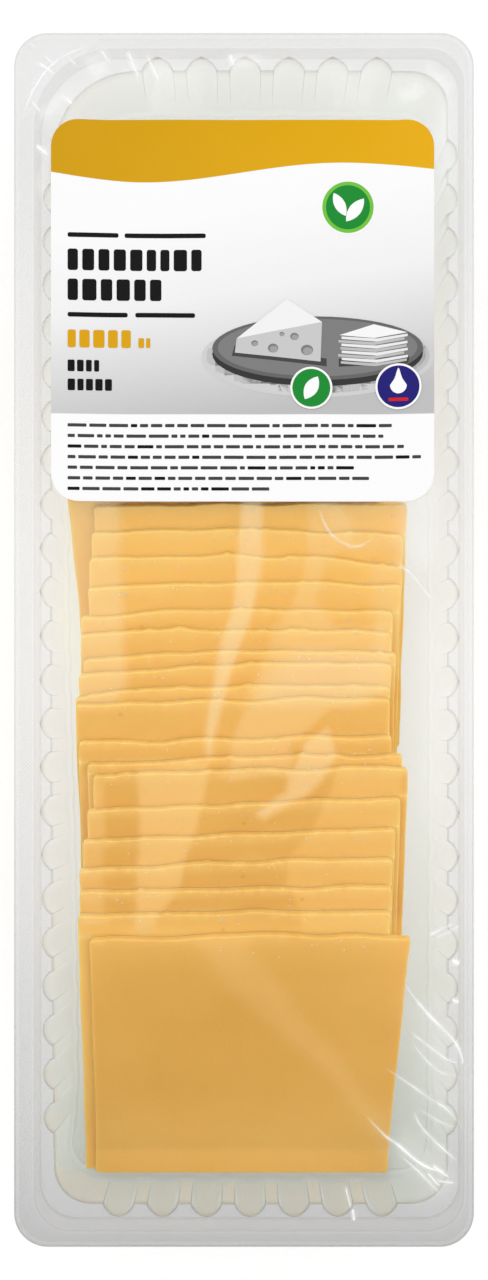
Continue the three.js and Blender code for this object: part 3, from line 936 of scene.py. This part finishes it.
def filmHeight(x, y):
    left, right, near, far = tray["seal"]
    slack = smooth(0, film["reach"], min(x - left, right - x, y - near, far - y))
    depth, *where = film["dip"]
    dip = depth * bell(x, y, *where)
    size, across, slant, along = film["ripple"]
    ripple = noise.noise((x * across + y * slant, y * along, 5)) * size
    return tray["height"] + film["gap"] + (ripple - film["sag"] - dip) * slack


def makeFilm(material):
    left, right, near, far = tray["flange"]

    def corner(column, row):
        return roundCorner(column, row, tray["flange"], tray["flangeRadius"])

    def place(column, row):
        x, y = corner(column, row)
        return x, y, filmHeight(x, y)

    def sheen(column, row):
        return sheenAt(*corner(column, row))

    columns, rows = stepped(left, right, film["step"]), stepped(near, far, film["step"])
    piece = gridPiece("clear_film", columns, rows, place, {"sheen": sheen, "glow": glowAt})
    thicken(piece, film["thickness"], 1)
    bpy.ops.object.shade_smooth_by_angle(angle=film["smoothAngle"])
    piece.visible_shadow = False
    finishPiece(piece, material, "film", "top_film")


# A smooth curve through points, at a share of its length from 0 to 1
def curveAt(points, share):
    spot = min(share * (len(points) - 1), len(points) - 1.001)
    number = int(spot)
    t = spot - number
    b, c = points[number], points[number + 1]
    a = points[number - 1] if number else b
    d = points[number + 2] if number + 2 < len(points) else c
    return tuple(
        0.5 * (2 * q + (r - p) * t + (2 * p - 5 * q + 4 * r - s) * t ** 2
               + (3 * q - p - 3 * r + s) * t ** 3)
        for p, q, r, s in zip(a, b, c, d)
    )


# Each fold is a low ridge that thins out at both ends
def makeFolds(material):
    least = film["foldEnds"]
    parts = []
    for number, (points, width, rise, white) in enumerate(folds):
        total = sum(dist(a, b) for a, b in zip(points, points[1:]))

        def place(column, row):
            x, y = curveAt(points, row)
            ahead, behind = curveAt(points, min(row + 0.01, 1)), curveAt(points, max(row - 0.01, 0))
            span = dist(ahead, behind)
            slim = mix(least, 1, sin(pi * row) ** 0.6) if 0 < row < 1 else least
            off = column * width * film["foldWiden"] * slim / span
            x += (ahead[1] - behind[1]) * off
            y -= (ahead[0] - behind[0]) * off
            ridge = rise * (1 - abs(column)) ** 1.5 * slim
            return x, y, filmHeight(x, y) + film["thickness"] + film["foldLift"] + ridge

        # Painted highlight along the fold's ridge, whitest at its core
        def sheen(column, row):
            uneven = 0.75 + 0.5 * noise.noise((row * total * 0.25, number * 3.1, 0))
            ends = smooth(0, 0.25, row) * smooth(1, 0.75, row)
            narrow, base = film["foldCore"]
            core = exp(-(column / narrow) ** 2) + base * (1 - abs(column))
            return min(film["foldHighlight"] * white * uneven * ends * core, 1)

        rows = stepped(0, 1, 1 / max(12, round(total / film["foldStep"])))
        parts.append(gridPiece(f"fold_{number}", film["foldLines"], rows, place, {"sheen": sheen}))
    x, y = peelDot["place"]
    deselectAll()
    bpy.ops.mesh.primitive_torus_add(
        location=(x * mm, y * mm, (tray["height"] + film["gap"] + film["thickness"]) * mm),
        major_radius=peelDot["radius"] * mm, minor_radius=peelDot["ring"] * mm,
        major_segments=peelDot["parts"][0], minor_segments=peelDot["parts"][1],
    )
    ring = bpy.context.object
    bpy.ops.object.transform_apply(location=True, rotation=True, scale=True)
    markAll(ring, "sheen", peelDot["sheen"])
    deselectAll()
    for part in parts + [ring]:
        part.select_set(True)
    piece = parts[0]
    bpy.context.view_layer.objects.active = piece
    bpy.ops.object.join()
    piece.name = "film_folds"
    bpy.ops.object.shade_smooth()
    piece.visible_shadow = False
    finishPiece(piece, material, "film")


# Label

printed = {
    "band": 17, "waveHeight": 3.2, "waves": 48, "panel": 28.5,
    "field": [(0, 0.5, 1), (0.2, 0.66, 1), (0.42, 0.83, 1), (0.7, 0.9, 1)], "fieldTilt": -1.6,
    "golds": ((0.6, 0.315, 0), (0.76, 0.4, 0)), "goldChange": 8,
    "fibre": (1500, 0.015, (0.5, 0.5, 0.5)), "relief": 0.00003, "roughness": 0.4,
    "paperShine": 0.08, "inkShine": 0.05,
    "black": (0.004, 0.004, 0.005), "ink": (0.05, 0.05, 0.055), "gold": (0.68, 0.35, 0.004),
    "navy": (0.015, 0.012, 0.17), "red": (0.6, 0.015, 0.02), "green": (0.01, 0.25, 0.03),
    "leaf": (0.16, 0.52, 0.05), "white": (0.92, 0.92, 0.92),
    # Bars that stand for lines of type: left, right, foot and head in mm
    "title": [
        ((-57.5, -41, 131.4, 132.9), "black"), ((-39, -12.5, 131.4, 132.9), "black"),
        ((-57.5, -11, 120.6, 127.6), "black"), ((-57.5, -27, 110.8, 117.8), "black"),
        ((-57.5, -38, 105.4, 106.9), "black"), ((-35.5, -16, 105.4, 106.9), "black"),
        ((-57.5, -37, 95.4, 101.2), "gold"), ((-34.5, -29.5, 95.4, 98.6), "gold"),
        ((-57.5, -46, 87.6, 91.4), "black"), ((-57.5, -42.5, 81.4, 85.2), "black"),
    ],
    "rows": (70.1, -3.45, 1.05),  # middle of the first, step to the next, height
    "rowStart": -57.5, "rowEnds": (48.3, 46.6, 52.2, 57.7, 36.5, 41.4, 8.8),
    "word": (1.6, 6.5), "space": 0.9, "boldShare": 0.14, "seed": 3,
    # Lines lower than this are one thin bar; others are blocks, sized as shares of their height
    "smallType": 3, "block": (0.42, 0.66), "blockGap": 0.2, "leastBlock": 0.3,
    "thinRound": 0.4, "blockRound": 0.12, "wordRound": 0.25,
    "pictures": [  # shape, its values in mm, layer and ink
        # a round emblem with two leaves
        ("oval", (34, 141.5, 9, 9), 1, "white"), ("oval", (34, 141.5, 8.4, 8.4), 2, "leaf"),
        ("oval", (34, 141.5, 7.2, 7.2), 3, "green"),
        ("leaf", (31.3, 142.4, 8.5, 3.6, 118), 4, "white"), ("leaf", (36.3, 140.6, 9.5, 4, 52), 4, "white"),
        # a board with a wedge of cheese, in greys
        ("oval", (24, 92.3, 38, 12.9), 1, 0.6), ("oval", (24, 92.72, 36.6, 12.06), 1, 0.5),
        ("oval", (24, 93.11, 35.3, 11.28), 1, 0.38), ("oval", (24, 93.6, 34.4, 10.6), 2, 0.035),
        ("oval", (24, 95.4, 34.4, 10.4), 3, 0.13), ("oval", (24, 95.6, 32.6, 9.4), 4, 0.2),
        ("path", ((-4, 93), (27, 89.5), (27, 92), (-3, 96.5)), 5, 0.06),
        ("path", ((-3, 94), (25, 91), (25.5, 104), (-2.4, 98.6)), 6, 0.56),
        ("path", ((-2.4, 98.6), (25.5, 104), (14, 111.5)), 6, 0.84),
        # the lowest and the uppermost of a pile of slices
        ("path", ((31, 89.4), (53.5, 90.4), (54, 92.5), (31, 92)), 5, 0.05),
        ("path", ((31.2, 99.7), (42.6, 98.7), (53.4, 100.4), (42.4, 103.2)), 7, 0.88),
        # two round badges, one with a leaf and one with a drop
        ("oval", (22, 82.4, 6.9, 6.9), 9, "white"), ("oval", (22, 82.4, 6.2, 6.2), 10, "green"),
        ("leaf", (22, 82.4, 8.6, 4.4, 60), 11, "white"), ("oval", (50.4, 82.8, 7.5, 7.5), 9, "white"),
        ("oval", (50.4, 82.8, 6.8, 6.8), 10, "navy"), ("drop", (50.4, 83.2, 2.7), 11, "white"),
        ("bar", (47.2, 53.6, 78, 79.1), 11, "red"),
    ],
    "holes": ((3.5, 97, 1.1), (9.5, 95.4, 1.7), (16.5, 99.2, 1.4), (20.6, 94.8, 2), (12.4, 100, 0.8)),
    "pile": (8, 90.4, 1.15, 0.8, (31.5, 43, 53)),  # count, foot, step, slip, and corners from the left
    "drape": 3, "lift": 0.02, "layer": 0.03,
}


def paperLook(shader, place, colour, shine):
    scale, share, tone = printed["fibre"]
    fibre = clouds(place, scale)
    feedAll(shader, {
        "Base Color": mixColour(times(fibre, share), colour, tone),
        "Roughness": printed["roughness"], "Specular IOR Level": shine,
    })
    return fibre


def labelMaterial():
    material, nodes, shader = newMaterial("printedLabel")
    place = objectPlace(nodes)
    x, y = acrossAndAlong(place)
    far = label["box"][3] * mm
    foot = (label["box"][2] + printed["panel"]) * mm
    # Gold band at the head with one long wave as its lower edge
    wave = times(mathNode("SINE", times(x, printed["waves"]), 0), printed["waveHeight"] * mm)
    inBand = mathNode("GREATER_THAN", y, plus(wave, far - printed["band"] * mm))
    gold = mixColour(plus(times(x, printed["goldChange"]), 0.5, True), *printed["golds"])
    # The field under it darkens towards its foot, more so on the right
    share = mathNode("DIVIDE", plus(y, -foot), far - foot)
    field = greyRamp(plus(times(x, printed["fieldTilt"]), share, True), printed["field"])[0]
    colour = mixColour(mathNode("LESS_THAN", y, foot), field, printed["white"])
    colour = mixColour(inBand, colour, gold)
    addBump(shader, paperLook(shader, place, colour, printed["paperShine"]), printed["relief"])
    return material


def inkMaterial():
    material, nodes, shader = newMaterial("printInk")
    paperLook(shader, objectPlace(nodes), marked(nodes, "ink", "Color"), printed["inkShine"])
    return material


def labelHeight(x, y):
    return filmHeight(x, y) + film["thickness"] + label["lift"]


def makeLabel(material):
    left, right, near, far = label["box"]

    def place(column, row):
        x, y = roundCorner(column, row, label["box"], label["corner"])
        return x, y, labelHeight(x, y)

    columns = gradedLines(left, right, label["step"], label["dense"])
    rows = gradedLines(near, far, label["step"], label["dense"])
    piece = gridPiece("paper_label", columns, rows, place, {})
    thicken(piece, label["thickness"], 1)
    bpy.ops.object.shade_smooth_by_angle(angle=film["smoothAngle"])
    finishPiece(piece, material, "label_paper", "label")


# Print: flat shapes as outlines in mm

def bar(left, right, near, far, radius=0.3):
    outline = []
    for x, y, start in ((right, near, -90), (right, far, 0), (left, far, 90), (left, near, 180)):
        middleX = x - copysign(radius, x - (left + right) / 2)
        middleY = y - copysign(radius, y - (near + far) / 2)
        for step in range(7):
            angle = radians(start + 15 * step)
            outline.append((middleX + radius * cos(angle), middleY + radius * sin(angle)))
    return outline


def oval(x, y, across, along, count=48):
    angles = [2 * pi * i / count for i in range(count)]
    return [(x + across * cos(a), y + along * sin(a)) for a in angles]


def leaf(x, y, length, width, degrees):
    outline = []
    turn = radians(degrees)
    for side in (1, -1):
        for step in range(10):
            t = step / 10 if side > 0 else 1 - step / 10
            along, across = (t - 0.5) * length, -side * width / 2 * sin(pi * t) ** 0.8
            outline.append((x + along * cos(turn) - across * sin(turn),
                            y + along * sin(turn) + across * cos(turn)))
    return outline


def drop(x, y, radius):
    outline = []
    for step in range(32):
        angle = 2 * pi * step / 32
        up = max(0, sin(angle))
        outline.append((x + radius * cos(angle) * (1 - 0.5 * up),
                        y + radius * (sin(angle) + 1.1 * up ** 6)))
    return outline


def printShapes():
    shapes = []
    words = random.Random(printed["seed"])

    def add(outline, layer, ink):
        shapes.append((outline, layer, printed[ink] if isinstance(ink, str) else (ink, ink, ink)))

    for (left, right, near, far), ink in printed["title"]:
        height = far - near
        if height < printed["smallType"]:
            add(bar(left, right, near, far, printed["thinRound"] * height), 1, ink)
            continue
        while left < right - printed["leastBlock"] * height:
            end = min(left + height * words.uniform(*printed["block"]), right)
            add(bar(left, end, near, far, printed["blockRound"] * height), 1, ink)
            left = end + height * printed["blockGap"]
    first, step, height = printed["rows"]
    for number, end in enumerate(printed["rowEnds"]):
        y = first + number * step
        x = printed["rowStart"]
        while x < end - printed["word"][0]:
            right = min(x + words.uniform(*printed["word"]), end)
            ink = "black" if words.random() < printed["boldShare"] else "ink"
            add(bar(x, right, y - height / 2, y + height / 2, printed["wordRound"]), 1, ink)
            x = right + printed["space"]
    kinds = {"bar": bar, "oval": oval, "leaf": leaf, "drop": drop, "path": lambda *points: list(points)}
    for kind, values, layer, ink in printed["pictures"]:
        add(kinds[kind](*values), layer, ink)
    for x, y, size in printed["holes"]:
        add(oval(x, y, size, size * 0.85, 20), 7, 0.2)
        add(oval(x + 0.12 * size, y - 0.2 * size, size * 0.8, size * 0.62, 20), 8, 0.34)
    count, foot, step, slip, corners = printed["pile"]
    for number in range(count):
        y = foot + number * step
        off = words.uniform(-slip, slip)
        left, middle, right = (x + off for x in corners)
        outline = [(left, y), (middle, y - 0.9), (right, y + 0.7), (right, y + 1.5),
                   (middle, y + 0.1), (left, y + 0.8)]
        add(outline, 6, 0.8 if number % 2 else 0.5)
    return shapes


def makePrint(material):
    piece = emptyPiece("label_print")
    bmesh.from_edit_mesh(piece.data).verts.layers.float_color.new("ink")
    for outline, layer, ink in printShapes():
        area = sum(a[0] * b[1] - b[0] * a[1] for a, b in zip(outline, outline[1:] + outline[:1]))
        if area < 0:
            outline = outline[::-1]
        bpy.ops.mesh.primitive_circle_add(vertices=len(outline), radius=mm, fill_type="NGON")
        mesh = bmesh.from_edit_mesh(piece.data)
        colour = mesh.verts.layers.float_color["ink"]
        added = [vertex for vertex in mesh.verts if vertex.select]
        for vertex, (x, y) in zip(added, outline):
            vertex.co = (x * mm, y * mm, layer * mm)
            vertex[colour] = (*ink, 1)
        bmesh.update_edit_mesh(piece.data)
    # Cut into squares, so that the shapes can follow the label's curve
    left, right, near, far = label["box"]
    cuts = [((x * mm, 0, 0), (1, 0, 0)) for x in stepped(left, right, printed["drape"])]
    cuts += [((0, y * mm, 0), (0, 1, 0)) for y in stepped(near, far, printed["drape"])]
    for spot, direction in cuts:
        bpy.ops.mesh.select_all(action="SELECT")
        bpy.ops.mesh.bisect(plane_co=spot, plane_no=direction)
    bpy.ops.object.mode_set(mode="OBJECT")
    for vertex in piece.data.vertices:
        x, y, layer = (value / mm for value in vertex.co)
        top = labelHeight(x, y) + label["thickness"] + printed["lift"]
        vertex.co.z = (top + layer * printed["layer"]) * mm
    finishPiece(piece, material, "label_paper")


# Camera, lights and floor

def makeCamera():
    deselectAll()
    height = tray["height"] + view["height"]
    bpy.ops.object.camera_add(location=(0, view["aimedAt"] * mm, height * mm), rotation=(0, 0, 0))
    camera = bpy.context.object
    camera.data.sensor_width = view["sensor"]
    camera.data.lens = view["sensor"] * view["height"] / view["frameLength"]
    camera.data.shift_y = view["shift"]
    camera.data.clip_start = 0.01
    camera.data.clip_end = 20
    bpy.context.scene.camera = camera


def makeLight(name):
    place, size, watts = studio[name]
    deselectAll()
    bpy.ops.object.light_add(type="AREA", location=place)
    light = bpy.context.object
    light.name = name
    light.data.size = size
    light.data.energy = watts
    light.rotation_euler = (-Vector(place)).to_track_quat("-Z", "Y").to_euler()


def makeStudio():
    bpy.context.scene.view_settings.view_transform = "Standard"
    world = bpy.data.worlds.new("softWhite")
    world.use_nodes = True
    feedAll(world.node_tree.nodes["Background"], {"Color": (1, 1, 1), "Strength": studio["world"]})
    bpy.context.scene.world = world
    makeLight("softbox")
    makeLight("fill")
    deselectAll()
    bpy.ops.mesh.primitive_plane_add(size=studio["floor"], location=(0, 0, -studio["floorBelow"]))
    floor = bpy.context.object
    floor.name = "floor"
    material, _, shader = newMaterial("paleFloor")
    feedAll(shader, {
        "Base Color": (studio["floorGrey"],) * 3, "Roughness": studio["floorRoughness"],
        "Emission Color": (1, 1, 1), "Emission Strength": studio["floorGlow"],
    })
    floor.data.materials.append(material)


print("stage: camera and studio")
makeCamera()
makeStudio()
print("stage: tray")
makeTray(trayMaterial())
print("stage: slices")
cheese = cheeseMaterial()
for order in range(1, slices["count"] + 1):
    makeSlice(order, cheese)
makeCrumbs(cheese)
print("stage: film")
clear = filmMaterial()
makeFilm(clear)
makeFolds(clear)
print("stage: label")
makeLabel(labelMaterial())
makePrint(inkMaterial())
